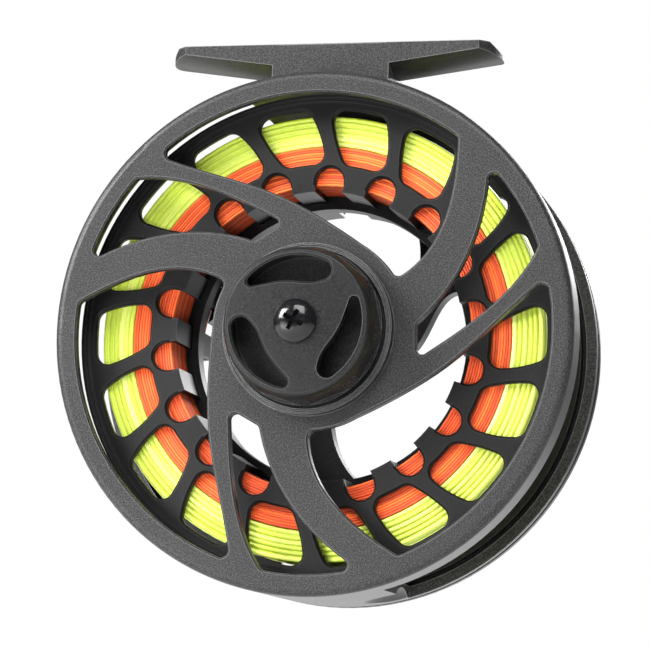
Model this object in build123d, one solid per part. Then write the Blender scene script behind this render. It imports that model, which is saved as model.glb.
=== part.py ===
"""A large-arbor fly reel: caged frame, drag, spool and wound line.

Millimetres.  The shapes are drawn about the spool's axis, which is the Y axis here: X runs
along the rod, Z points from the spool to the foot, and Y grows from the drag knob towards
the handle.  place() then moves each piece so that the origin is the rod seat's centre.
Angles are clockwise from the foot, seen from the drag knob.
"""
from build123d import *
import os
from math import cos, radians, sin, sqrt

# Frame
FRAME_R = 48.0            # outer radius of both rings
RING_INNER_R = 44.0       # opening of the knob-side ring
FACE_Y = -1.0             # knob-side face of the arms and ring
FACE_T = 2.0              # thickness of the arms
HUB_BACK_Y = 2.0          # handle side of the hub plate, which is thicker
SKIRT_INNER_R = 46.0      # the thin wall behind the knob-side ring
RING_END_Y = 7.0          # handle side of that wall
FAR_RING_Y = (31.8, 33.6)
FAR_RING_INNER_R = 46.0
PILLAR_INNER_R = 45.8
PILLAR_HALF_W = 13.3      # bottom pillar
SCOOP_R = 11.4            # the dish that guides the line, in the pillar's corner
SCOOP_DEPTH = 1.7
SCOOP_DEG = 166.0
SCOOP_Y = 24.5
BRIDGE_HALF_W = 14.0      # top bridge, under the foot
RIM_ROUND = 1.4           # rounding of the ring's knob-side edge
EDGE_BREAK = 0.3          # small chamfer along the arms
HUB_R = 18.0
COLLAR_R = (14.6, 15.6)   # raised collar around the drag knob
COLLAR_Y = -3.2

# Foot and rod seat
FOOT_L = 63.2
FOOT_W = 14.0
FOOT_END = 3.6            # how far the round ends stand out
FOOT_FRONT_Y = 9.3
FOOT_EDGE_Z = 55.6        # straight upper edges of the saddle, above the spool's axis
FOOT_EDGE_T = (3.8, 1.4)  # height of the wing's side at the stem and at the tip
STEM_HALF_W = 11.1
STEM_BASE_Z = 48.2
SADDLE_R = 8.5
SADDLE_L = 19.0
SADDLE_RISE = 0.09        # slope of the groove from the seat's ends to the tips
BELLY_R = 18.0            # round underside of the wings
FOOT_SCREW_X = (-6.0, 6.0)
FOOT_SCREW_R = 1.5
FOOT_SCREW_TIP_Z = 50.9
FOOT_HEAD_R = 2.25
FOOT_HEAD_Z = PILLAR_INNER_R - 1.0
FOOT_MID_Y = FOOT_FRONT_Y + FOOT_W / 2
SEAT_Z = FOOT_EDGE_Z + sqrt(SADDLE_R**2 - (FOOT_W / 2) ** 2)

# Spool
SPOOL_NEAR = (6.2, 7.6)   # knob-side flange, along Y
SPOOL_FAR = (31.0, 32.8)  # handle-side flange
NEAR_FLANGE_R = 45.1
FAR_FLANGE_R = 45.1
ARBOR_R = (26.8, 28.0)
FAR_INNER_R = 27.6
MID_RING_R = 25.6
WINDOWS = 18
PITCH = 360 / WINDOWS
WINDOW_R = (32.0, 42.2)
WINDOW_DEG = 10.8         # middle of the first window
WINDOW_BREAK = 0.45       # chamfer around the windows and notches
SCALLOP_R = 2.6           # round end of each notch in the flange's inner edge
SCALLOP_AT = 28.8
SCALLOP_DEG = 2.5
RIM_Y = (34.4, 38.0)      # palming rim, which overlaps the frame's far ring
RIM_INNER_R = 43.4
HUB_TUBE_R = 7.0
HUB_END_Y = 34.0
HUB_HEAD_R = 11.0
SPOKE_DEG = (70.0, 208.0, 324.0)
BUSH_R = (2.56, 3.6)

# Line
BACKING_R = (28.1, 35.6)
LINE_R = (35.6, 41.5)
LINE_Y = (7.8, 30.8)

# Drag, along Y from the hub plate
CUP_R = (12.2, 14.0)
CUP_END_Y = 12.6
SPINDLE_R = 2.5
SPINDLE_Y = (-9.2, 36.6)
PUSHER_Y = (2.7, 3.5)
SPRING_Y = (3.55, 5.55)
INNER_PLATE_Y = (5.6, 6.3)
INNER_CARBON_Y = (6.35, 7.05)
ROTOR_FLANGE_Y = (7.1, 7.9)
OUTER_CARBON_Y = (7.95, 8.65)
OUTER_PLATE_Y = (8.7, 9.4)
COVER_Y = (9.5, 11.0)
SEAL_Y = (9.9, 10.6)
CIRCLIP_Y = (11.1, 11.8)
ROTOR_R = (5.6, 6.8)
ROTOR_Y = (4.2, 15.0)
ROLLER_R = 0.72
SLEEVE_R = (2.56, 4.0)
SLEEVE_HEX = 8.4          # across corners
FRICTION_R = (7.2, 11.2)
PIN_R = 0.8
PIN_AT = 9.2

# Drag knob
KNOB_R = 14.2
KNOB_Y = (-4.2, -12.2)    # underside and the middle of the face
KNOB_FACE_T = 2.2
KNOB_RECESS = 0.9         # depth of the underside, around the hub
KNOB_BORE_R = 2.1
KNOB_HUB_R = 4.0
LIP_BREAK = 0.4           # chamfer around the openings of the face
SCREW_HEAD_R = 3.85
SCREW_HEAD_H = 1.8
CROSS_DEPTH = 1.4
THREAD_R = 1.0
RIB_GROUPS = 9
RIB_STEP = 4.2            # degrees between the three grooves of a group
RIB_DEPTH = 0.35
KNOB_DEG = 1.9            # where the knob and its screw stand at rest
FLAT_AT = 13.65           # the finger flats between the groups of ribs

# Handle, counterweight and latch
HANDLE_AT = 36.5
HANDLE_DEG = WINDOW_DEG + 6 * PITCH
HANDLE_Y = (36.4, 57.0)
HANDLE_R = (5.0, 6.6)
POST_R = 2.2
WEIGHT_DEG = HANDLE_DEG + 180
CAP_R = 10.6
CAP_Y = (34.0, 38.2)
LATCH_Y = (34.8, 35.8)
LATCH_HALF_W = 4.0
SMALL_SCREW_R = 0.9
CAP_SCREW_Z = (-7.6, 7.6)

GAP = 0.05                # fit of a fixed piece in its seat
RUN = 0.06                # running fit of a turning piece


def place(shape):
    """Move a piece from the spool's axis to the rod seat's frame."""
    return Pos(0, -FOOT_MID_Y, -SEAT_Z) * shape


def polar(radius, degrees):
    """A point in the X-Z drawing, clockwise from the foot."""
    return (radius * sin(radians(degrees)), radius * cos(radians(degrees)))


def slab(face, y0, y1):
    """A face drawn in X-Z, made solid from y0 to y1."""
    return extrude(Plane.XZ.offset(-y0) * face, amount=-(y1 - y0))


def disc(radius, y0, y1, at=(0.0, 0.0)):
    return slab(Pos(*at) * Circle(radius), y0, y1)


def tube(inner, outer, y0, y1, at=(0.0, 0.0)):
    return slab(Pos(*at) * (Circle(outer) - Circle(inner)), y0, y1)


def turned(points):
    """A solid of revolution about the spool's axis, from (radius, y) corners."""
    outline = Polyline(*[(r, y, 0) for r, y in points], close=True)
    return revolve(make_face(outline), axis=Axis.Y, revolution_arc=360)


def lathed(*edges):
    """A solid of revolution about the spool's axis, from edges drawn as (radius, y)."""
    return revolve(make_face(Curve() + list(edges)), axis=Axis.Y, revolution_arc=360)


def around(shape, count, start=0.0):
    """Copies of a shape, evenly spaced about the spool's axis."""
    return [Rot(0, start + k * 360 / count, 0) * shape for k in range(count)]


def edge_curve(points):
    return Spline(*[polar(r, a) for r, a in points])


def rim_arc(radius, start, end):
    """An arc about the spool's axis, from one angle to the other."""
    middle = (start + end) / 2
    return ThreePointArc(polar(radius, start), polar(radius, middle), polar(radius, end))


def joined(*edges, corner):
    """A closed outline with its corners rounded."""
    face = make_face(Curve() + list(edges))
    return fillet(face.vertices(), corner)


# ---------------------------------------------------------------- frame

# The arms curl out of the hub in three pairs.  Each edge is (radius, angle).
WIDE_LEAD = [(44.0, 46.8), (36.6, 57.2), (27.5, 71.4), (19.6, 86.7)]
WIDE_TRAIL = [(44.0, 36.8), (37.1, 44.1), (28.8, 53.2), (18.2, 59.2)]
SLIM_TRAIL = [(44.0, 70.0), (35.7, 79.8), (27.2, 90.6), (20.4, 105.2)]
SLIM_LEAD = [(44.0, 77.6), (35.7, 85.4), (26.3, 103.6), (20.3, 126.7), (18.2, 150.2)]


def small_opening():
    """Between the leading edge of a wide arm and the slim arm that follows it."""
    outer = rim_arc(RING_INNER_R, WIDE_LEAD[0][1], SLIM_TRAIL[0][1])
    inner = Line(polar(*SLIM_TRAIL[-1]), polar(*WIDE_LEAD[-1]))
    return joined(outer, edge_curve(SLIM_TRAIL), inner, edge_curve(WIDE_LEAD), corner=1.1)


def large_opening():
    """Between a slim arm and the next wide arm."""
    trail = [(r, a + 120) for r, a in WIDE_TRAIL]
    outer = rim_arc(RING_INNER_R, SLIM_LEAD[0][1], trail[0][1])
    inner = rim_arc(HUB_R + 0.2, SLIM_LEAD[-1][1], trail[-1][1])
    return joined(outer, edge_curve(SLIM_LEAD), inner, edge_curve(trail), corner=1.4)


def arms_face():
    face = Circle(FRAME_R)
    for turn in (0, 120, 240):
        face -= Rot(0, 0, -turn) * small_opening()
        face -= Rot(0, 0, -turn) * large_opening()
    return face


def sector(inner, outer, half_width):
    """A piece of ring above the axis, cut square to X."""
    band = Pos(0, outer / 2) * Rectangle(2 * half_width, outer)
    return (Circle(outer) - Circle(inner)) & band


def line_scoop():
    """The shallow dish in the corner of the bottom pillar, for the line to run over."""
    x, z = polar(FRAME_R + SCOOP_R - SCOOP_DEPTH, SCOOP_DEG)
    return Pos(x, SCOOP_Y, z) * Sphere(SCOOP_R)


def arms_plate():
    """The arms and the face of the ring, with their knob-side edges broken."""
    plate = slab(arms_face(), FACE_Y, FACE_Y + FACE_T)
    front = plate.faces().sort_by(Axis.Y)[0]
    inner_edges = [edge for wire in front.inner_wires() for edge in wire.edges()]
    plate = chamfer(inner_edges, EDGE_BREAK)
    front = plate.faces().sort_by(Axis.Y)[0]
    return fillet(front.outer_wire().edges(), RIM_ROUND)


def frame():
    body = arms_plate()
    body += tube(SKIRT_INNER_R, FRAME_R, FACE_Y + FACE_T, RING_END_Y)
    body += disc(HUB_R, FACE_Y, HUB_BACK_Y)
    body += tube(FAR_RING_INNER_R, FRAME_R, *FAR_RING_Y)
    bridge = slab(sector(PILLAR_INNER_R, FRAME_R, BRIDGE_HALF_W), RING_END_Y, FAR_RING_Y[0])
    pillar = slab(sector(PILLAR_INNER_R, FRAME_R, PILLAR_HALF_W), RING_END_Y, FAR_RING_Y[0])
    body += bridge
    body += Rot(0, 180, 0) * pillar
    pad_z = FRAME_R - 1.4
    pad_h = STEM_BASE_Z - pad_z
    body += Pos(0, FOOT_MID_Y, pad_z + pad_h / 2) * Box(2 * STEM_HALF_W, FOOT_W, pad_h)
    body -= line_scoop()
    for x in FOOT_SCREW_X:
        body -= Pos(x, FOOT_MID_Y, FOOT_HEAD_Z) * Cylinder(FOOT_SCREW_R + 0.2, 14)
        body -= Pos(x, FOOT_MID_Y, FOOT_HEAD_Z + 0.95) * Cylinder(FOOT_HEAD_R + 0.1, 2.2)
    body += tube(*COLLAR_R, COLLAR_Y, FACE_Y)
    body -= tube(15.0, 15.2, COLLAR_Y, COLLAR_Y + 0.4)
    body += tube(*CUP_R, HUB_BACK_Y, CUP_END_Y)
    body -= tube(CUP_R[0] - 1, CUP_R[0] + 0.6, CIRCLIP_Y[0] - GAP, CIRCLIP_Y[1] + GAP)
    body -= disc(SPINDLE_R + GAP, FACE_Y, HUB_BACK_Y)
    for pin in around(disc(PIN_R + RUN, FACE_Y, HUB_BACK_Y, polar(PIN_AT, 0)), 3):
        body -= pin
    for key in around(key_block(CUP_R[0] + 0.7), 3, 60):
        body -= key
    return body


def key_block(reach):
    """A lug that keys a drag plate to the cup's wall."""
    return Pos(0, (INNER_PLATE_Y[0] + CIRCLIP_Y[0]) / 2, reach - 1.2) * Box(
        3.0, CIRCLIP_Y[0] - INNER_PLATE_Y[0] + 0.2, 2.4
    )


# ---------------------------------------------------------------- foot

def foot_plan():
    """The foot from above: straight sides and round ends."""
    half, w = FOOT_L / 2 - FOOT_END, FOOT_W / 2
    sides = [Line((-half, w), (half, w)), Line((half, -w), (-half, -w))]
    ends = [
        ThreePointArc((half, w), (FOOT_L / 2, 0), (half, -w)),
        ThreePointArc((-half, -w), (-FOOT_L / 2, 0), (-half, w)),
    ]
    return make_face(Curve() + sides + ends)


def wing_belly(side):
    """A tilted cylinder whose underside gives one wing its round, rising belly."""
    reach = FOOT_L / 2 - FOOT_END - STEM_HALF_W
    slope = (FOOT_EDGE_T[0] - FOOT_EDGE_T[1]) / reach
    root_z = FOOT_EDGE_Z - FOOT_EDGE_T[0] + sqrt(BELLY_R**2 - (FOOT_W / 2) ** 2)
    direction = Vector(side, 0, slope)
    start = Vector(0, 0, root_z - slope * STEM_HALF_W)
    return extrude(Plane(origin=start, z_dir=direction) * Circle(BELLY_R), amount=40)


def saddle_groove(side):
    """Outboard of the seat, the groove runs out towards the tip."""
    start = Vector(side * SADDLE_L / 2, 0, SEAT_Z)
    end_circle = Plane(origin=start, z_dir=(side, 0, 0)) * Circle(SADDLE_R)
    return extrude(end_circle, amount=FOOT_L / 2, dir=(side, 0, SADDLE_RISE))


def reel_foot():
    wings = extrude(Plane.XY.offset(STEM_BASE_Z) * foot_plan(), amount=FOOT_EDGE_Z - STEM_BASE_Z)
    half_box = Pos(FOOT_L / 2, 0, FOOT_EDGE_Z) * Box(FOOT_L, 2 * FOOT_W, 2 * FOOT_W)
    right = wings & half_box & wing_belly(1)
    left = mirror(right, Plane.YZ)
    stem_h = FOOT_EDGE_Z - STEM_BASE_Z
    stem = Pos(0, 0, STEM_BASE_Z + stem_h / 2) * Box(2 * STEM_HALF_W, FOOT_W, stem_h)
    body = left + right + stem
    body -= Pos(0, 0, SEAT_Z) * Rot(0, 90, 0) * Cylinder(SADDLE_R, SADDLE_L)
    body -= saddle_groove(1)
    body -= saddle_groove(-1)
    for x in FOOT_SCREW_X:
        body -= Pos(x, 0, FOOT_SCREW_TIP_Z - 3) * Cylinder(FOOT_SCREW_R + GAP, 6.4)
    return Pos(0, FOOT_MID_Y, 0) * body


def foot_screws():
    screws = []
    for x in FOOT_SCREW_X:
        head = Pos(0, 0, FOOT_HEAD_Z + 1.1) * Cylinder(FOOT_HEAD_R, 1.7)
        length = FOOT_SCREW_TIP_Z - FOOT_HEAD_Z - 1.1
        shank = Pos(0, 0, FOOT_SCREW_TIP_Z - length / 2) * Cylinder(FOOT_SCREW_R, length)
        cross = Pos(0, 0, FOOT_HEAD_Z + 0.4) * (Box(3.4, 0.7, 0.7) + Box(0.7, 3.4, 0.7))
        screws.append(Pos(x, FOOT_MID_Y, 0) * (head + shank - cross))
    return Compound(children=screws)


# ---------------------------------------------------------------- drag

def spindle():
    shaft = turned([
        (0, SPINDLE_Y[0]), (2.0, SPINDLE_Y[0]), (2.0, FACE_Y), (SPINDLE_R, FACE_Y), (SPINDLE_R, 34.6),
        (1.7, 34.6), (1.7, 35.95), (SPINDLE_R, 35.95), (1.9, SPINDLE_Y[1]), (0, SPINDLE_Y[1]),
    ])
    flange = disc(4.6, HUB_BACK_Y, 2.6)
    return shaft + flange - disc(THREAD_R + GAP, SPINDLE_Y[0], -3.8)


def knob_screw():
    """The pan-head cross-recess screw that holds the knob on the spindle."""
    base = KNOB_Y[1] - GAP
    top = base - SCREW_HEAD_H
    head = lathed(
        Line((0, top), (0, base)), Line((0, base), (SCREW_HEAD_R, base)),
        Line((SCREW_HEAD_R, base), (SCREW_HEAD_R, base - 0.5)),
        ThreePointArc((SCREW_HEAD_R, base - 0.5), (2.6, top + 0.34), (0, top)),
    )
    shoulder = disc(1.9, base, SPINDLE_Y[0] - GAP)
    thread = disc(THREAD_R, SPINDLE_Y[0] - GAP, -4.8)
    cross = Box(3.9, 2 * CROSS_DEPTH, 0.8) + Box(0.8, 2 * CROSS_DEPTH, 3.9)
    return head + shoulder + thread - Pos(0, top, 0) * Rot(0, KNOB_DEG + 25, 0) * cross


def crescent():
    """One swirled opening in the knob's face."""
    outer = rim_arc(12.0, -50.0, 22.0)
    nose = ThreePointArc(polar(12.0, 22.0), polar(10.8, 32.5), polar(8.8, 30.0))
    inner = Spline(polar(8.8, 30.0), polar(7.3, 14.0), polar(7.5, -14.0), polar(8.8, -40.0),
                   polar(10.2, -53.0))
    tail = ThreePointArc(polar(10.2, -53.0), polar(11.3, -55.5), polar(12.0, -50.0))
    return make_face(Curve() + [outer, nose, inner, tail])


def knob_shell():
    """The outside of the knob: straight at its base, then rounded into a slightly domed face."""
    y0, y1 = KNOB_Y
    return lathed(
        Line((0, y1), (0, y0)), Line((0, y0), (KNOB_R - 0.3, y0)),
        Line((KNOB_R - 0.3, y0), (KNOB_R, y0 - 0.3)), Line((KNOB_R, y0 - 0.3), (KNOB_R, y0 - 2.8)),
        ThreePointArc((KNOB_R, y0 - 2.8), (KNOB_R - 0.3, y0 - 4.8), (KNOB_R - 0.9, y1 + 1.4)),
        ThreePointArc((KNOB_R - 0.9, y1 + 1.4), (KNOB_R - 1.0, y1 + 0.85), (KNOB_R - 1.4, y1 + 0.5)),
        ThreePointArc((KNOB_R - 1.4, y1 + 0.5), (KNOB_R / 2, y1 + 0.15), (0, y1)),
    )


def drag_knob():
    y0, y1 = KNOB_Y
    body = knob_shell()
    for opening in around(slab(crescent(), y1 - 1, y1 + KNOB_FACE_T + 1), 3, KNOB_DEG):
        body -= opening
    front = body.faces().sort_by(Axis.Y)[0]
    body = chamfer([edge for wire in front.inner_wires() for edge in wire.edges()], LIP_BREAK)
    body -= tube(SCREW_HEAD_R + 1.4, KNOB_R - 1.8, y1 + KNOB_FACE_T, y0 - KNOB_RECESS - 0.8)
    body -= disc(KNOB_BORE_R, y1 - 1, y0)
    body -= disc(11.4, y0 - KNOB_RECESS, y0)
    body += tube(KNOB_BORE_R, KNOB_HUB_R, y0 - KNOB_RECESS, FACE_Y - RUN)
    groove = Pos(0, y0 - 3.8, KNOB_R - RIB_DEPTH + 1.0) * Box(0.45, 5.6, 2.0)
    flat = Pos(0, y0 - 4.4, FLAT_AT + 1.0) * Box(7.4, 7.2, 2.0)
    for group in range(RIB_GROUPS):
        middle = KNOB_DEG + 16 + group * 360 / RIB_GROUPS
        body -= Rot(0, middle + 180 / RIB_GROUPS, 0) * flat
        for step in (-RIB_STEP, 0, RIB_STEP):
            body -= Rot(0, middle + step, 0) * groove
    return body


def pressure_plate():
    return tube(6.2, 11.6, *PUSHER_Y)


def thrust_pins():
    pin = disc(PIN_R, KNOB_Y[0] - KNOB_RECESS + GAP, PUSHER_Y[0], polar(PIN_AT, 0))
    return Compound(children=around(pin, 3))


def drag_spring():
    """A stack of two cupped spring washers."""
    y0, y1 = SPRING_Y
    mid = (y0 + y1) / 2
    lower = turned([(8.0, mid - 0.35), (8.0, mid), (11.4, y0 + 0.35), (11.4, y0)])
    upper = turned([(8.0, mid), (8.0, mid + 0.35), (11.4, y1), (11.4, y1 - 0.35)])
    return lower + upper


def drag_plate(span):
    """A steel drag plate with three lugs in the cup's keyways."""
    low, high = span
    plate = disc(CUP_R[0] - 0.3, low, high)
    lug = Pos(0, (low + high) / 2, CUP_R[0] - 0.8) * Box(2.8, high - low, 2.4)
    for key in around(lug, 3, 60):
        plate += key
    return plate - disc(FRICTION_R[0], low, high)


def drag_cover():
    groove = tube(CUP_R[0] - 0.9, CUP_R[0], *SEAL_Y)
    return tube(FRICTION_R[0], CUP_R[0] - GAP, *COVER_Y) - groove


def cover_seal():
    return tube(CUP_R[0] - 0.85, CUP_R[0] - 0.03, SEAL_Y[0] + GAP, SEAL_Y[1] - GAP)


def retaining_ring():
    """An open ring that snaps into the cup's groove, with two ears for the pliers."""
    ring = tube(CUP_R[0] - 1.3, CUP_R[0] + 0.5, *CIRCLIP_Y)
    ring -= Pos(0, (CIRCLIP_Y[0] + CIRCLIP_Y[1]) / 2, CUP_R[0]) * Box(5.0, 3.0, 6.0)
    ears = [(-3.2, CUP_R[0] - 1.5), (3.2, CUP_R[0] - 1.5)]
    for ear in ears:
        ring += disc(1.2, *CIRCLIP_Y, ear)
    for ear in ears:
        ring -= disc(0.55, *CIRCLIP_Y, ear)
    return ring


def drag_rotor():
    """The clutch housing, with the flange that is squeezed between the carbon washers."""
    return tube(*ROTOR_R, *ROTOR_Y) + tube(ROTOR_R[1], 11.6, *ROTOR_FLANGE_Y)


def carbon_washer(span):
    return tube(FRICTION_R[0] + 0.1, FRICTION_R[1], *span)


def clutch_rollers():
    at = (SLEEVE_R[1] + ROTOR_R[0]) / 2
    roller = disc(ROLLER_R, 5.2, 13.8, polar(at, 0))
    return Compound(children=around(roller, 8))


def clutch_cage():
    """Two plastic rings that keep the rollers apart."""
    inner, outer = SLEEVE_R[1] + RUN, ROTOR_R[0] - RUN
    cage = tube(inner, outer, 4.4, 14.6)
    at = (SLEEVE_R[1] + ROTOR_R[0]) / 2
    for pocket in around(disc(ROLLER_R + 0.12, 5.1, 13.9, polar(at, 0)), 8):
        cage -= pocket
    return cage


def drive_sleeve():
    """The sleeve that the clutch grips; its hexagon drives the spool."""
    sleeve = tube(*SLEEVE_R, 3.4, 15.4)
    hexagon = slab(RegularPolygon(SLEEVE_HEX / 2, 6), 15.4, 18.4)
    return sleeve + hexagon - disc(SLEEVE_R[0], 15.4, 18.4)


# ---------------------------------------------------------------- spool

def window():
    """One opening of the flange: wide outside, leaning, with bowed sides."""
    lead = ThreePointArc(polar(WINDOW_R[0], 7.4), polar(37.2, 3.4), polar(WINDOW_R[1], 2.0))
    outer = rim_arc(WINDOW_R[1], 2.0, 15.6)
    trail = ThreePointArc(polar(WINDOW_R[1], 15.6), polar(37.2, 18.8), polar(WINDOW_R[0], 20.4))
    inner = rim_arc(WINDOW_R[0], 20.4, 7.4)
    return joined(lead, outer, trail, inner, corner=2.1)


def notch():
    """A round-ended notch in the flange's inner edge."""
    slot = Pos(0, SCALLOP_AT - 3) * Rectangle(2 * SCALLOP_R, 6) + Pos(0, SCALLOP_AT) * Circle(SCALLOP_R)
    return Rot(0, 0, -SCALLOP_DEG) * slot


def flange_face(inner, outer, skip=()):
    face = Circle(outer) - Circle(inner)
    for k in range(WINDOWS):
        if k not in skip:
            face -= Rot(0, 0, -k * PITCH) * window()
        face -= Rot(0, 0, -k * PITCH) * notch()
    return face


def near_flange():
    plate = slab(flange_face(ARBOR_R[0], NEAR_FLANGE_R), *SPOOL_NEAR)
    front = plate.faces().sort_by(Axis.Y)[0]
    plate = chamfer([edge for wire in front.inner_wires() for edge in wire.edges()], WINDOW_BREAK)
    for radius in (43.5, 44.3):
        plate -= tube(radius, radius + 0.25, SPOOL_NEAR[0], SPOOL_NEAR[0] + 0.25)
    return plate


def windows_near(degrees, reach):
    """The windows that lie within reach of an angle."""
    offsets = [(k * PITCH + WINDOW_DEG - degrees + 180) % 360 - 180 for k in range(WINDOWS)]
    return [k for k, offset in enumerate(offsets) if abs(offset) < reach]


def far_flange():
    skip = windows_near(HANDLE_DEG, 12) + windows_near(WEIGHT_DEG, 12)
    plate = slab(flange_face(FAR_INNER_R, FAR_FLANGE_R, skip), *SPOOL_FAR)
    rim = tube(RIM_INNER_R, FAR_FLANGE_R, SPOOL_FAR[1], RIM_Y[1])
    lip = turned([
        (FAR_FLANGE_R, RIM_Y[0]), (FRAME_R - 1.0, RIM_Y[0]), (FRAME_R, RIM_Y[0] + 1.0),
        (FRAME_R, RIM_Y[1] - 0.8), (FRAME_R - 0.8, RIM_Y[1]), (FAR_FLANGE_R, RIM_Y[1]),
    ])
    return plate + rim + lip


def arbor():
    """Eighteen posts that carry the line, tied together by a ring at mid-width."""
    post_deg = SCALLOP_DEG + PITCH / 2
    half = 2.1
    face = (Circle(ARBOR_R[1]) - Circle(ARBOR_R[0])) & (Pos(0, 26) * Rectangle(2 * half, 8))
    post = slab(Rot(0, 0, -post_deg) * face, SPOOL_NEAR[0], SPOOL_FAR[1])
    body = tube(MID_RING_R, ARBOR_R[1], 17.5, 21.0)
    for piece in around(post, WINDOWS):
        body += piece
    return body


def spoke():
    """A curved spoke, from the hub's head to the arbor, sweeping back as it goes out."""
    lead = Spline(polar(9.0, -14), polar(15.0, -20), polar(20.0, -27), polar(27.8, -42))
    outer = rim_arc(27.8, -42, -3)
    trail = Spline(polar(27.8, -3), polar(22.4, -9), polar(17.5, 0), polar(9.0, 28))
    inner = rim_arc(9.0, 28, -14)
    return make_face(Curve() + [lead, outer, trail, inner])


def boss(radius, degrees, y1):
    return disc(radius, SPOOL_FAR[0], y1, polar(HANDLE_AT, degrees))


def spool():
    body = arbor() + near_flange() + far_flange()
    for degrees in SPOKE_DEG:
        body += slab(Rot(0, 0, -degrees) * spoke(), SPOOL_FAR[0] - 1.6, SPOOL_FAR[1] + 0.4)
    body += disc(HUB_HEAD_R, 28.5, HUB_END_Y)
    body += disc(HUB_TUBE_R, 15.4, 28.5)
    body += boss(5.2, HANDLE_DEG, 35.6)
    body += boss(6.8, WEIGHT_DEG, 33.2)
    body -= disc(BUSH_R[1] + GAP, 15.4, HUB_END_Y)
    body -= slab(RegularPolygon(SLEEVE_HEX / 2 + GAP, 6), 15.4, 18.6)
    body -= disc(POST_R - 0.6 + GAP, SPOOL_FAR[0] + 0.6, 35.6, polar(HANDLE_AT, HANDLE_DEG))
    body -= disc(SMALL_SCREW_R + GAP, SPOOL_FAR[0] + 0.4, 33.2, polar(HANDLE_AT, WEIGHT_DEG))
    for z in CAP_SCREW_Z:
        body -= disc(SMALL_SCREW_R + GAP, 30.0, HUB_END_Y, (0, z))
    return body.solids().sort_by(SortBy.VOLUME)[-1]


def spool_bushing(y0, y1):
    return tube(*BUSH_R, y0, y1)


def wound(radii):
    """The space that a winding fills between the spool's flanges."""
    return tube(*radii, *LINE_Y)


# ---------------------------------------------------------------- handle side

def handle_post():
    at = polar(HANDLE_AT, HANDLE_DEG)
    shank = disc(POST_R - 0.6, SPOOL_FAR[0] + 0.7, 35.6, at)
    barrel = disc(POST_R, 35.6, HANDLE_Y[1] - 1.6, at)
    head = disc(3.4, HANDLE_Y[1] - 1.6, HANDLE_Y[1] - 0.2, at)
    slot = Pos(at[0], HANDLE_Y[1] - 0.4, at[1]) * Box(5.0, 0.8, 0.8)
    return shank + barrel + head - slot


def handle_knob():
    """A waisted barrel, grooved for grip, free to turn on its post."""
    y0, y1 = HANDLE_Y
    r0, r1 = HANDLE_R
    body = turned([
        (POST_R + RUN, y0 + 0.4), (r0 - 0.6, y0 + 0.4), (r0, y0 + 1.0), (r0 - 0.7, y0 + 5.0),
        (r0 - 0.4, y0 + 10.0), (r1 - 0.3, y0 + 16.0), (r1, y0 + 18.2), (r1 - 0.5, y1 - 1.0),
        (r1 - 1.6, y1), (4.0, y1), (4.0, y1 - 1.9), (POST_R + RUN, y1 - 1.9),
    ])
    for k in range(4):
        y = y0 + 11.0 + 1.5 * k
        body -= tube(r1 - 1.1 + 0.12 * k, r1 + 1, y, y + 0.5)
    return Pos(*spot(HANDLE_DEG)) * body


def spot(degrees):
    x, z = polar(HANDLE_AT, degrees)
    return (x, 0, z)


def handle_washer():
    return tube(POST_R + GAP, 4.2, 35.7, HANDLE_Y[0] + 0.3, polar(HANDLE_AT, HANDLE_DEG))


def counterweight():
    at = polar(HANDLE_AT, WEIGHT_DEG)
    body = disc(6.4, 33.25, 36.6, at) + disc(5.8, 36.6, 37.2, at)
    return body - disc(2.1, 35.8, 37.2, at) - disc(SMALL_SCREW_R + GAP, 33.25, 35.8, at)


def counterweight_screw():
    at = polar(HANDLE_AT, WEIGHT_DEG)
    slot = Pos(at[0], 36.9, at[1]) * Box(3.0, 0.6, 0.5)
    return disc(SMALL_SCREW_R, SPOOL_FAR[0] + 0.5, 35.85, at) + disc(2.0, 35.85, 37.0, at) - slot


def hub_cap():
    """The cover over the spool's latch."""
    body = turned([
        (0, CAP_Y[0]), (CAP_R, CAP_Y[0]), (CAP_R, CAP_Y[1] - 1.0), (CAP_R - 1.0, CAP_Y[1]), (0, CAP_Y[1]),
    ])
    depth = LATCH_Y[1] + GAP - CAP_Y[0]
    middle_y = CAP_Y[0] + depth / 2
    channel = Pos(1.0, middle_y, 0) * Box(2 * CAP_R + 4, depth, 2 * LATCH_HALF_W + 0.2)
    stop = Pos(1.0 - CAP_R, middle_y, 0) * Box(2.0, depth + 0.3, 9.0)
    body = body - channel + (stop & disc(CAP_R, *CAP_Y))
    body -= disc(SPINDLE_R + 0.2, CAP_Y[0], SPINDLE_Y[1] + 0.3)
    for z in CAP_SCREW_Z:
        body -= disc(SMALL_SCREW_R + GAP, CAP_Y[0], CAP_Y[1], (0, z))
        body -= disc(1.75, CAP_Y[1] - 1.3, CAP_Y[1], (0, z))
    return body


def cap_screws():
    screws = []
    for z in CAP_SCREW_Z:
        head = disc(1.65, CAP_Y[1] - 1.25, CAP_Y[1] - 0.1, (0, z))
        slot = Pos(0, CAP_Y[1] - 0.3, z) * Box(2.4, 0.6, 0.45)
        screws.append(disc(SMALL_SCREW_R, 30.2, CAP_Y[1] - 1.25, (0, z)) + head - slot)
    return Compound(children=screws)


def latch_slide():
    """The sprung plate that hooks into the spindle's groove; pressing its tab frees the spool."""
    mid = (LATCH_Y[0] + LATCH_Y[1]) / 2
    thick = LATCH_Y[1] - LATCH_Y[0]
    plate = Pos(1.6, mid, 0) * Box(14.4, thick, 2 * LATCH_HALF_W)
    tab = Pos(10.4, mid, 0) * Box(4.0, thick, 2 * LATCH_HALF_W)
    body = plate + tab - disc(SPINDLE_R + 0.2, *LATCH_Y, (0.7, 0))
    return fillet(body.edges().filter_by(Axis.Y).sort_by(Axis.X)[-2:], 1.6)


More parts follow.
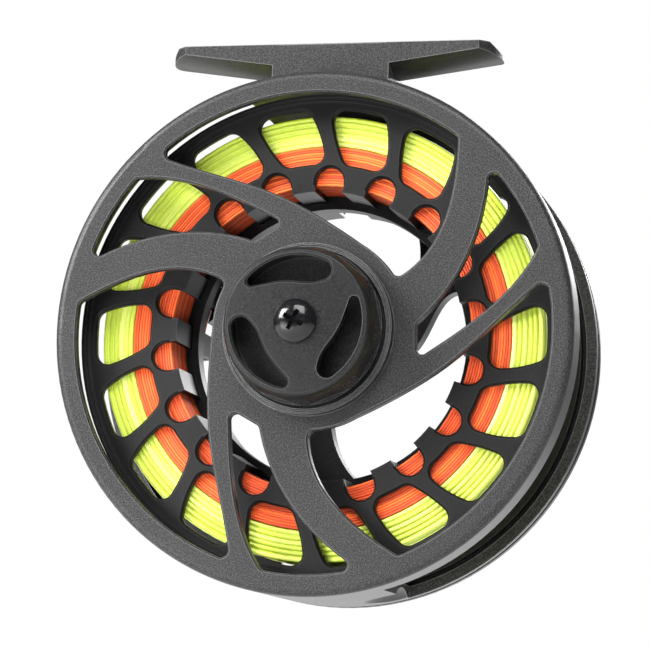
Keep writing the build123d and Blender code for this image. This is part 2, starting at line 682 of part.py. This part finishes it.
def latch_spring():
    """A small coil spring between the plate and the cap's stop."""
    radius = 0.4
    start = -8.55
    turns = Helix(pitch=0.62, height=2.8, radius=radius, center=(start, 35.3, 0), direction=(1, 0, 0))
    section = Plane(origin=turns @ 0, z_dir=turns % 0) * Circle(0.1)
    return sweep(section, path=turns, is_frenet=True)


PIECES = {
    "frame": frame,
    "reel_foot": reel_foot,
    "foot_screws": foot_screws,
    "spindle": spindle,
    "knob_screw": knob_screw,
    "drag_knob": drag_knob,
    "pressure_plate": pressure_plate,
    "thrust_pins": thrust_pins,
    "drag_spring": drag_spring,
    "inner_drag_plate": lambda: drag_plate(INNER_PLATE_Y),
    "inner_carbon_washer": lambda: carbon_washer(INNER_CARBON_Y),
    "drag_rotor": drag_rotor,
    "outer_carbon_washer": lambda: carbon_washer(OUTER_CARBON_Y),
    "outer_drag_plate": lambda: drag_plate(OUTER_PLATE_Y),
    "drag_cover": drag_cover,
    "cover_seal": cover_seal,
    "retaining_ring": retaining_ring,
    "clutch_rollers": clutch_rollers,
    "clutch_cage": clutch_cage,
    "drive_sleeve": drive_sleeve,
    "spool": spool,
    "inner_bushing": lambda: spool_bushing(18.8, 23.0),
    "outer_bushing": lambda: spool_bushing(29.6, 33.8),
    "backing": lambda: wound(BACKING_R),
    "fly_line": lambda: wound(LINE_R),
    "handle_post": handle_post,
    "handle_knob": handle_knob,
    "handle_washer": handle_washer,
    "counterweight": counterweight,
    "counterweight_screw": counterweight_screw,
    "hub_cap": hub_cap,
    "cap_screws": cap_screws,
    "latch_slide": latch_slide,
    "latch_spring": latch_spring,
}

os.makedirs("parts", exist_ok=True)
for name, make in PIECES.items():
    export_step(place(make()), f"parts/{name}.step")
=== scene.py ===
"""Looks for the fly reel: materials, the wound line, a pale floor, soft light and the camera.

Metres, in the rod seat's frame: X along the rod, Z up, the spool's axis parallel to Y.
"""
from math import pi, radians

import bpy
import numpy as np
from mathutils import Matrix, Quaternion, Vector


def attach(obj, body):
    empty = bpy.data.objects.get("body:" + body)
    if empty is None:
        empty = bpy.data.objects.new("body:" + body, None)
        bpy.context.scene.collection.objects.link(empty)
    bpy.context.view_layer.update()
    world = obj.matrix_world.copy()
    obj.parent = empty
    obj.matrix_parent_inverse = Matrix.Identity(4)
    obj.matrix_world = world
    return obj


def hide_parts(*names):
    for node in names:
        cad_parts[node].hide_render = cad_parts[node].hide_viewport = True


# Camera, from the view's perspective on the two rings
LENS = 159.67             # both in millimetres
SENSOR = 36.0
CAMERA_AT = (0.116866, -0.51842, -0.134548)
CAMERA_AIM = (0.002677, -0.0163, -0.059120)
CAMERA_ROLL = 1.78        # degrees

# Where the spool's axis is, and its knob side
AXIS_Z = -0.0604218
NEAR_Y = -0.0163

# The wound line: strands' radii, then the windings' inner and outer radii
LINE_R = 0.00050
BACKING_R = 0.00026
LINE_SPAN = (0.0356, 0.0415)
BACKING_SPAN = (0.0281, 0.0356)
WIDTH = (0.0078, 0.0308)  # along Y, from NEAR_Y
CLEAR = 0.00001           # between a strand's widest wander and the flange
CORE_INSET = 0.0007       # how far the inner ring keeps from each flange
CORE_STEPS = 72
# The inner ring's tone, darker than most turns: painted shade in the gaps between turns
CORE_SHADE_TONE = 0.25

# Set
FLOOR_Z = -0.21
FLOOR_SIZE = 6.0
REEL_MIDDLE = (0, -0.015, -0.06)
AMBIENT = 0.22            # strength of the surround's light

# Paint
GRAIN_SIZE = 0.00024
EDGE_HIGHLIGHT_WIDTH = 0.00030      # how far in from an edge the painted highlight reaches


# ---------------------------------------------------------------- materials

def new_material(name):
    """A new material, its node tree and its shader."""
    material = bpy.data.materials.new(name)
    material.use_nodes = True
    tree = material.node_tree
    return material, tree, tree.nodes["Principled BSDF"]


def add(tree, kind, inputs=None, **settings):
    node = tree.nodes.new(kind)
    for key, value in settings.items():
        setattr(node, key, value)
    for key, value in (inputs or {}).items():
        node.inputs[key].default_value = value
    return node


def grain(tree, scale, detail=2.0, roughness=0.6):
    """Noise in the piece's own coordinates."""
    place = add(tree, "ShaderNodeTexCoord")
    noise = add(tree, "ShaderNodeTexNoise",
                {"Scale": scale, "Detail": detail, "Roughness": roughness})
    tree.links.new(place.outputs["Object"], noise.inputs["Vector"])
    return noise.outputs["Fac"]


def ramp(tree, source, stops):
    node = add(tree, "ShaderNodeValToRGB")
    elements = node.color_ramp.elements
    while len(elements) < len(stops):
        elements.new(0.5)
    for element, (position, colour) in zip(elements, stops):
        element.position = position
        element.color = (*colour, 1.0)
    tree.links.new(source, node.inputs["Fac"])
    return node.outputs["Color"]


def spread(tree, source, low, high):
    """Noise, mapped to a range of values."""
    node = add(tree, "ShaderNodeMapRange",
               {"From Min": 0.3, "From Max": 0.7, "To Min": low, "To Max": high})
    tree.links.new(source, node.inputs["Value"])
    return node.outputs["Result"]


def mixed(tree, first, second, share, blend="MIX"):
    node = add(tree, "ShaderNodeMix", data_type="RGBA", blend_type=blend)
    tree.links.new(first, node.inputs["A"])
    tree.links.new(second, node.inputs["B"])
    if isinstance(share, float):
        node.inputs["Factor"].default_value = share
    else:
        tree.links.new(share, node.inputs["Factor"])
    return node.outputs["Result"]


def bump(tree, shader, source, distance):
    node = add(tree, "ShaderNodeBump", {"Distance": distance, "Strength": 1.0})
    tree.links.new(source, node.inputs["Height"])
    tree.links.new(node.outputs["Normal"], shader.inputs["Normal"])


def grey(value):
    return (value, value, value)


def flatness(tree, radius):
    """One on the flats, less near an edge of the solid."""
    rounded = add(tree, "ShaderNodeBevel", {"Radius": radius}, samples=6)
    flat = add(tree, "ShaderNodeNewGeometry")
    match = add(tree, "ShaderNodeVectorMath", operation="DOT_PRODUCT")
    tree.links.new(rounded.outputs["Normal"], match.inputs[0])
    tree.links.new(flat.outputs["Normal"], match.inputs[1])
    return match.outputs["Value"]


def coated(name, base, fleck, gloss, metal, relief, edge):
    """Paint with metallic flecks over a dark ground, with a painted highlight along the edges.

    base and edge are the grey of the ground and of the painted edge highlight; fleck is how
    many times lighter than the ground a fleck is.
    """
    material, tree, shader = new_material(name)
    fine = grain(tree, 1.0 / GRAIN_SIZE, 3.0, 0.7)
    stops = [(0.36, grey(base * 0.6)), (0.48, grey(base)), (0.64, grey(base * fleck))]
    coat = ramp(tree, fine, stops)
    cloud = ramp(tree, grain(tree, 55.0), [(0.3, grey(0.45)), (0.7, grey(0.55))])
    ground = mixed(tree, coat, cloud, 0.85, "OVERLAY")
    # Painted highlight: near the solid's edges the colour turns to a lighter grey
    highlight_share = add(tree, "ShaderNodeMapRange",
               {"From Min": 0.99, "From Max": 0.90, "To Min": 0.0, "To Max": 0.8})
    tree.links.new(flatness(tree, EDGE_HIGHLIGHT_WIDTH), highlight_share.inputs["Value"])
    painted_highlight = ramp(tree, fine, [(0.3, grey(edge * 0.8)), (0.7, grey(edge * 1.2))])
    tree.links.new(mixed(tree, ground, painted_highlight, highlight_share.outputs["Result"]), shader.inputs["Base Color"])
    tree.links.new(spread(tree, fine, gloss - 0.06, gloss + 0.08), shader.inputs["Roughness"])
    shader.inputs["Metallic"].default_value = metal
    shader.inputs["Specular IOR Level"].default_value = 0.18
    bump(tree, shader, fine, relief)
    return material


def machined(name, colour, gloss):
    """Turned metal: faint rings about the spool's axis, in tone and in relief."""
    material, tree, shader = new_material(name)
    place = add(tree, "ShaderNodeTexCoord")
    centred = add(tree, "ShaderNodeMapping", {"Location": (0, 0, -AXIS_Z)})
    tree.links.new(place.outputs["Object"], centred.inputs["Vector"])
    rings = add(tree, "ShaderNodeTexWave", {"Scale": 900.0, "Distortion": 1.5, "Detail": 2.0},
                wave_type="RINGS", rings_direction="Y")
    tree.links.new(centred.outputs["Vector"], rings.inputs["Vector"])
    dark = tuple(c * 0.75 for c in colour)
    tone = ramp(tree, rings.outputs["Fac"], [(0.2, dark), (0.8, colour)])
    tree.links.new(tone, shader.inputs["Base Color"])
    smudge = grain(tree, 160.0, 4.0)
    tree.links.new(spread(tree, smudge, gloss - 0.05, gloss + 0.1), shader.inputs["Roughness"])
    shader.inputs["Metallic"].default_value = 1.0
    bump(tree, shader, rings.outputs["Fac"], 0.000004)
    return material


def moulded(name, colour, grain_size, gloss, relief, shine=0.5):
    """Plastic, rubber or pressed fibre with a fine mould texture."""
    material, tree, shader = new_material(name)
    fine = grain(tree, 1.0 / grain_size, 4.0, 0.65)
    dark = tuple(c * 0.7 for c in colour)
    light = tuple(min(1.0, c * 1.35) for c in colour)
    tone = ramp(tree, fine, [(0.3, dark), (0.7, light)])
    tree.links.new(tone, shader.inputs["Base Color"])
    tree.links.new(spread(tree, fine, gloss - 0.06, gloss + 0.1), shader.inputs["Roughness"])
    shader.inputs["Specular IOR Level"].default_value = shine
    bump(tree, shader, fine, relief)
    return material


def line_coating():
    """Chartreuse vinyl, whose tone varies along each strand."""
    material, tree, shader = new_material("fly_line_vinyl")
    tone = add(tree, "ShaderNodeAttribute", attribute_name="tone")
    stops = [(0.0, (0.32, 0.41, 0.020)), (0.5, (0.43, 0.54, 0.045)),
             (0.75, (0.56, 0.64, 0.12)), (1.0, (0.78, 0.80, 0.34))]
    body = ramp(tree, tone.outputs["Fac"], stops)
    speck = ramp(tree, grain(tree, 1600.0), [(0.35, grey(0.45)), (0.65, grey(0.55))])
    tree.links.new(mixed(tree, body, speck, 0.5, "OVERLAY"), shader.inputs["Base Color"])
    shader.inputs["Roughness"].default_value = 0.36
    shader.inputs["Subsurface Weight"].default_value = 0.25
    shader.inputs["Subsurface Radius"].default_value = (0.0008, 0.0009, 0.0002)
    bump(tree, shader, grain(tree, 2400.0), 0.00001)
    return material


def braided_backing():
    """Orange braid: a fine cellular weave over each strand, with an uneven tone."""
    material, tree, shader = new_material("backing_braid")
    tone = add(tree, "ShaderNodeAttribute", attribute_name="tone")
    stops = [(0.0, (0.30, 0.022, 0.003)), (0.5, (0.60, 0.062, 0.005)),
             (1.0, (0.88, 0.17, 0.014))]
    body = ramp(tree, tone.outputs["Fac"], stops)
    weave = add(tree, "ShaderNodeTexVoronoi", {"Scale": 6500.0})
    place = add(tree, "ShaderNodeTexCoord")
    tree.links.new(place.outputs["Object"], weave.inputs["Vector"])
    shade = ramp(tree, weave.outputs["Distance"], [(0.1, grey(0.55)), (0.7, grey(0.42))])
    tree.links.new(mixed(tree, body, shade, 0.6, "OVERLAY"), shader.inputs["Base Color"])
    shader.inputs["Roughness"].default_value = 0.72
    shader.inputs["Sheen Weight"].default_value = 0.05
    bump(tree, shader, weave.outputs["Distance"], 0.00004)
    return material


def floor_material():
    material, tree, shader = new_material("pale_floor")
    colour = ramp(tree, grain(tree, 6.0), [(0.3, grey(0.86)), (0.7, grey(0.90))])
    tree.links.new(colour, shader.inputs["Base Color"])
    shader.inputs["Roughness"].default_value = 0.7
    return material


def dress(nodes):
    """One procedural material for each finish, on every CAD node."""
    # Each edge value is the grey of the painted highlight along that piece's edges
    looks = {
        "frame_paint": coated("speckled_powder_coat", base=0.015, fleck=2.8, gloss=0.42,
                              metal=0.30, relief=0.000012, edge=0.13),
        "knob_paint": coated("satin_powder_coat", base=0.008, fleck=2.0, gloss=0.34,
                             metal=0.25, relief=0.000006, edge=0.07),
        "spool_paint": coated("charcoal_coat", base=0.005, fleck=2.0, gloss=0.40,
                              metal=0.20, relief=0.000006, edge=0.03),
        "black_steel": moulded("black_oxide", (0.003, 0.003, 0.0035), grain_size=0.0006,
                               gloss=0.14, relief=0.000002, shine=0.25),
        "steel": machined("turned_steel", (0.56, 0.56, 0.57), gloss=0.30),
        "bronze": machined("sintered_bronze", (0.55, 0.37, 0.17), gloss=0.46),
        "carbon": moulded("carbon_disc", (0.030, 0.030, 0.032), grain_size=0.0005,
                          gloss=0.55, relief=0.00002),
        "cage_plastic": moulded("acetal", grey(0.11), grain_size=0.0009,
                                gloss=0.45, relief=0.00001),
        "seal_rubber": moulded("nitrile", grey(0.020), grain_size=0.0006,
                               gloss=0.62, relief=0.00002),
        "handle_plastic": moulded("grip_plastic", (0.030, 0.030, 0.032), grain_size=0.0005,
                                  gloss=0.48, relief=0.00002),
    }
    for node in nodes.values():
        for slot in node.material_slots:
            if slot.material.name in looks:
                slot.material = looks[slot.material.name]


# ---------------------------------------------------------------- wound line

def ripple(rng, angles, waves):
    """A smooth wander about zero, at most one either way, that closes after a turn."""
    total = np.zeros_like(angles)
    weight = 0.0
    for k in range(1, waves + 1):
        size = rng.uniform(0.4, 1.0) / k
        total += size * np.sin(k * angles + rng.uniform(0, 2 * pi))
        weight += size
    return total / weight


def on_spool(radius, angle, y):
    """Points given by radius and angle about the spool's axis, and by depth behind NEAR_Y."""
    across, up = radius * np.sin(angle), radius * np.cos(angle)
    return np.stack([across, NEAR_Y + y, AXIS_Z + up], axis=-1)


class Strands:
    """Tubes that follow paths about the spool, gathered into one mesh."""

    def __init__(self, radius, sides):
        self.radius = radius
        self.sides = sides
        self.points = []
        self.faces = []
        self.tones = []
        self.count = 0

    def sweep(self, rings, tone, closed):
        """Skins successive rings of points, given as steps x sides x 3."""
        steps, sides, _ = rings.shape
        self.points.append(rings.reshape(-1, 3))
        self.tones.append(np.repeat(tone, sides))
        for i in range(steps if closed else steps - 1):
            here = self.count + i * sides
            there = self.count + ((i + 1) % steps) * sides
            for s in range(sides):
                t = (s + 1) % sides
                self.faces.append((here + s, here + t, there + t, there + s))
        self.count += steps * sides

    def tube(self, radius, angle, y, tone, closed):
        """A strand along a polar path; a closed one ends where it began."""
        turn = np.arange(self.sides) * 2 * pi / self.sides
        across = radius[:, None] + self.radius * np.cos(turn)[None, :]
        along = y[:, None] + self.radius * np.sin(turn)[None, :]
        self.sweep(on_spool(across, angle[:, None], along), tone, closed)

    def core(self, inner, outer):
        """A plain ring inside the winding, so that no light comes through it."""
        low, high = WIDTH[0] + CORE_INSET, WIDTH[1] - CORE_INSET
        angle = np.arange(CORE_STEPS) * 2 * pi / CORE_STEPS
        corners = [(inner, low), (outer, low), (outer, high), (inner, high)]
        edges = [on_spool(np.full(CORE_STEPS, r), angle, np.full(CORE_STEPS, y))
                 for r, y in corners]
        # The ring takes the darker tone, a painted shade seen between the turns
        self.sweep(np.stack(edges, axis=1), np.full(CORE_STEPS, CORE_SHADE_TONE), True)

    def build(self, name, material):
        mesh = bpy.data.meshes.new(name)
        mesh.from_pydata(np.concatenate(self.points).tolist(), [], self.faces)
        tones = mesh.attributes.new("tone", "FLOAT", "POINT")
        tones.data.foreach_set("value", np.concatenate(self.tones).astype(np.float32))
        mesh.polygons.foreach_set("use_smooth", [True] * len(mesh.polygons))
        mesh.materials.append(material)
        mesh.update()
        piece = bpy.data.objects.new(name, mesh)
        bpy.context.scene.collection.objects.link(piece)
        return piece


def side_rings(strands, rng, radii, y, wander, steps):
    """Turns that lie against one flange, one outside the other."""
    angle = np.arange(steps) * 2 * pi / steps
    for radius in radii:
        r = radius + wander * ripple(rng, angle, 4)
        depth = y + wander * ripple(rng, angle, 5)
        tone = np.clip(rng.uniform(0.3, 0.75) + 0.3 * ripple(rng, angle, 9), 0, 1)
        strands.tube(r, angle, depth, tone, True)


def layer(strands, rng, radius, low, high, turns, wander, steps):
    """One layer of side-by-side turns, from flange to flange."""
    angle = np.linspace(0, 2 * pi * turns, turns * steps + 1)
    y = np.linspace(low, high, len(angle))
    inside = np.minimum(1.0, np.minimum(y - low, high - y) / (4 * wander))
    slow = ripple(rng, angle / turns, 9) + 0.6 * ripple(rng, angle, 3)
    y = y + wander * inside * slow
    r = radius + 0.4 * wander * ripple(rng, angle * 0.37, 5)
    tone = np.clip(0.5 + 0.45 * ripple(rng, angle * 0.21, 11), 0, 1)
    strands.tube(r, angle, y, tone, False)


def fly_line(rng):
    strands = Strands(LINE_R, 8)
    inner, outer = LINE_SPAN
    low, high = WIDTH
    wander = 0.00011
    room = LINE_R + wander + CLEAR
    pitch = 0.00097           # from turn to turn, a little under the line's width
    nested = 0.00048          # where a turn lies that fills the groove between two others
    behind = 0.0003           # how far such a turn lies further in
    radii = [inner + LINE_R + k * pitch for k in range(6)]
    between = [r + nested for r in radii[:-1]]
    for y, inward in ((low + room, 1), (high - room, -1)):
        side_rings(strands, rng, radii, y, wander, 96)
        side_rings(strands, rng, between, y + inward * behind, wander, 96)
    # The last full layer, and over its middle the few turns that went on last
    layer(strands, rng, outer - LINE_R - 0.0005, low + room, high - room, 20, wander, 72)
    layer(strands, rng, outer - LINE_R - 0.00006, low + 0.0035, high - 0.0072, 7, 0.0003, 72)
    strands.core(inner, outer - 0.0013)
    return strands.build("wound_fly_line", line_coating())


def backing(rng):
    strands = Strands(BACKING_R, 6)
    inner, outer = BACKING_SPAN
    low, high = WIDTH
    wander = 0.00005
    room = BACKING_R + wander + CLEAR
    pitch = 0.00049
    behind = 0.0004
    count = int((outer - inner - 2 * room) / pitch) + 1
    radii = [inner + room + k * pitch for k in range(count)]
    between = [r + pitch / 2 for r in radii[:-1]]
    for y, inward in ((low + room, 1), (high - room, -1)):
        side_rings(strands, rng, radii, y, wander, 80)
        side_rings(strands, rng, between, y + inward * behind, wander, 60)
    # The innermost layer, which shows through the spool's middle
    layer(strands, rng, inner + room, low + room, high - room, 40, wander, 60)
    strands.core(inner + 0.0004, outer - 0.0001)
    return strands.build("wound_backing", braided_backing())


# ---------------------------------------------------------------- set

def floor():
    bpy.ops.mesh.primitive_plane_add(size=FLOOR_SIZE, location=(0, 0, FLOOR_Z))
    plane = bpy.context.object
    plane.name = "floor"
    plane.data.materials.append(floor_material())


def panel(name, at, size, power):
    """A soft box: a square area light aimed at the reel."""
    data = bpy.data.lights.new(name, "AREA")
    data.shape = "SQUARE"
    data.size = size
    data.energy = power
    light = bpy.data.objects.new(name, data)
    light.location = at
    light.rotation_mode = "QUATERNION"
    light.rotation_quaternion = (Vector(REEL_MIDDLE) - Vector(at)).to_track_quat("-Z", "Y")
    bpy.context.scene.collection.objects.link(light)


def studio():
    """A white surround for the eye, a dimmer one for the light, and four soft boxes."""
    world = bpy.data.worlds.new("studio")
    bpy.context.scene.world = world
    world.use_nodes = True
    tree = world.node_tree
    seen = add(tree, "ShaderNodeBackground", {"Color": (1, 1, 1, 1), "Strength": 1.0})
    light = tree.nodes["Background"]
    light.inputs["Color"].default_value = (1, 1, 1, 1)
    light.inputs["Strength"].default_value = AMBIENT
    rays = add(tree, "ShaderNodeLightPath")
    choice = add(tree, "ShaderNodeMixShader")
    tree.links.new(rays.outputs["Is Camera Ray"], choice.inputs[0])
    tree.links.new(light.outputs[0], choice.inputs[1])
    tree.links.new(seen.outputs[0], choice.inputs[2])
    tree.links.new(choice.outputs[0], tree.nodes["World Output"].inputs["Surface"])
    panel("key", (-0.90, -0.70, 0.50), size=0.60, power=50.0)
    panel("front", (0.15, -1.00, 0.90), size=0.80, power=34.0)
    panel("low", (-0.25, -0.35, -0.20), size=0.30, power=2.0)
    panel("back", (0.35, 0.85, 0.45), size=0.60, power=12.0)


def camera():
    data = bpy.data.cameras.new("camera")
    data.lens = LENS
    data.sensor_width = SENSOR
    item = bpy.data.objects.new("camera", data)
    item.location = CAMERA_AT
    item.rotation_mode = "QUATERNION"
    facing = (Vector(CAMERA_AIM) - Vector(CAMERA_AT)).to_track_quat("-Z", "Y")
    item.rotation_quaternion = facing @ Quaternion((0, 0, 1), radians(CAMERA_ROLL))
    bpy.context.scene.collection.objects.link(item)
    bpy.context.scene.camera = item


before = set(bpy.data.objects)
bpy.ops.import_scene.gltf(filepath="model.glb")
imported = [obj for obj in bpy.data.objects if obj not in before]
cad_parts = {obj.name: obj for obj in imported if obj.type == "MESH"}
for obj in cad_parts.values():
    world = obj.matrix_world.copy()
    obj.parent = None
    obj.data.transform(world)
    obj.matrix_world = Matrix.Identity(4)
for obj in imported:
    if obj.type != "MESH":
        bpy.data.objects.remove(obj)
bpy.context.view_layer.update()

bpy.context.scene.view_settings.view_transform = "Standard"
camera()
studio()
floor()
dress(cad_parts)

rng = np.random.default_rng(11)
for piece, node, slot in (
    (fly_line(rng), "fly_line", "fly_line_coating"),
    (backing(rng), "backing", "backing_line"),
):
    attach(piece, "spool_body")
    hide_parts(node)
